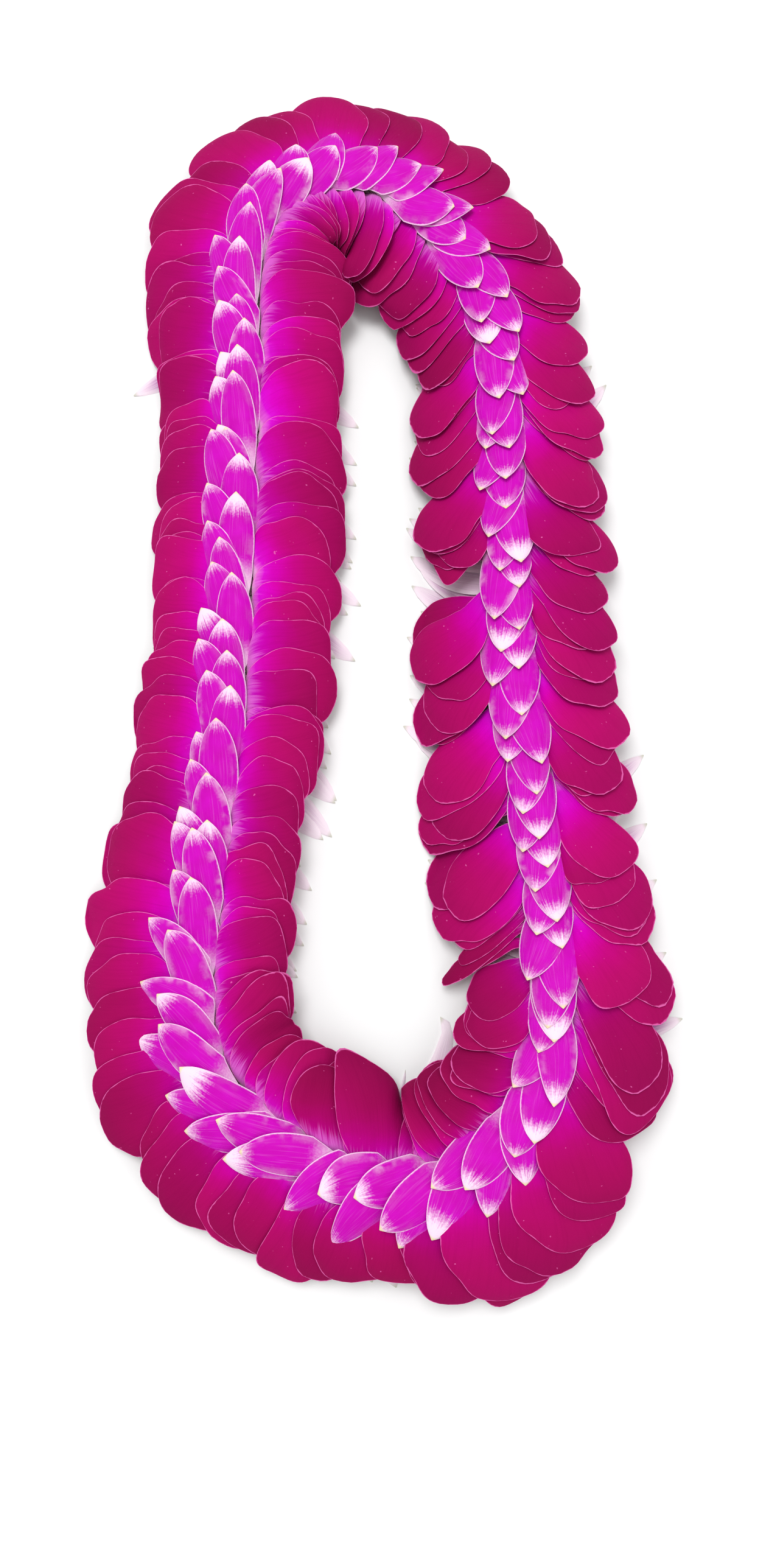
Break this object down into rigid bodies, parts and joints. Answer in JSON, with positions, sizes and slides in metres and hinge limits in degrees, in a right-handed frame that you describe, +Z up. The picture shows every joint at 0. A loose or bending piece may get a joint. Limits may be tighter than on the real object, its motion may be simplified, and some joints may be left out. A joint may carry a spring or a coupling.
{
  "type": "flower lei",
  "caption": "Closed garland of purple orchid blooms strung face up on a knotted thread, petals overlapping like tiles round an open middle, lying flat.",
  "frame": {"origin": "middle of the bounding box, on the plane that the lei lies on", "axes": "+Z up from the table through the middle of the lei, +Y along its length towards its narrow end, +X to the right as seen from above"},
  "size_m": [0.205, 0.458, 0.0279],
  "materials": {
    "outer_petals": "velvety, soft sheen",
    "inner_petals": "velvety, soft sheen",
    "sepals": "soft satin",
    "thread": "matt twisted cotton"
  },
  "bodies": {
    "root": {"blooms_01_sepals": "sepals", "blooms_01_outer_petals": "outer_petals", "blooms_01_inner_petals": "inner_petals", "blooms_02_sepals": "sepals", "blooms_02_outer_petals": "outer_petals", "blooms_02_inner_petals": "inner_petals", "blooms_03_sepals": "sepals", "blooms_03_outer_petals": "outer_petals", "blooms_03_inner_petals": "inner_petals", "blooms_04_sepals": "sepals", "blooms_04_outer_petals": "outer_petals", "blooms_04_inner_petals": "inner_petals", "blooms_05_sepals": "sepals", "blooms_05_outer_petals": "outer_petals", "blooms_05_inner_petals": "inner_petals", "blooms_06_sepals": "sepals", "blooms_06_outer_petals": "outer_petals", "blooms_06_inner_petals": "inner_petals", "blooms_07_sepals": "sepals", "blooms_07_outer_petals": "outer_petals", "blooms_07_inner_petals": "inner_petals", "blooms_08_sepals": "sepals", "blooms_08_outer_petals": "outer_petals", "blooms_08_inner_petals": "inner_petals", "blooms_09_sepals": "sepals", "blooms_09_outer_petals": "outer_petals", "blooms_09_inner_petals": "inner_petals", "blooms_10_sepals": "sepals", "blooms_10_outer_petals": "outer_petals", "blooms_10_inner_petals": "inner_petals", "blooms_11_sepals": "sepals", "blooms_11_outer_petals": "outer_petals", "blooms_11_inner_petals": "inner_petals", "blooms_12_sepals": "sepals", "blooms_12_outer_petals": "outer_petals", "blooms_12_inner_petals": "inner_petals", "blooms_13_sepals": "sepals", "blooms_13_outer_petals": "outer_petals", "blooms_13_inner_petals": "inner_petals", "blooms_14_sepals": "sepals", "blooms_14_outer_petals": "outer_petals", "blooms_14_inner_petals": "inner_petals", "blooms_15_sepals": "sepals", "blooms_15_outer_petals": "outer_petals", "blooms_15_inner_petals": "inner_petals", "thread": "thread"}
  },
  "joints": []
}
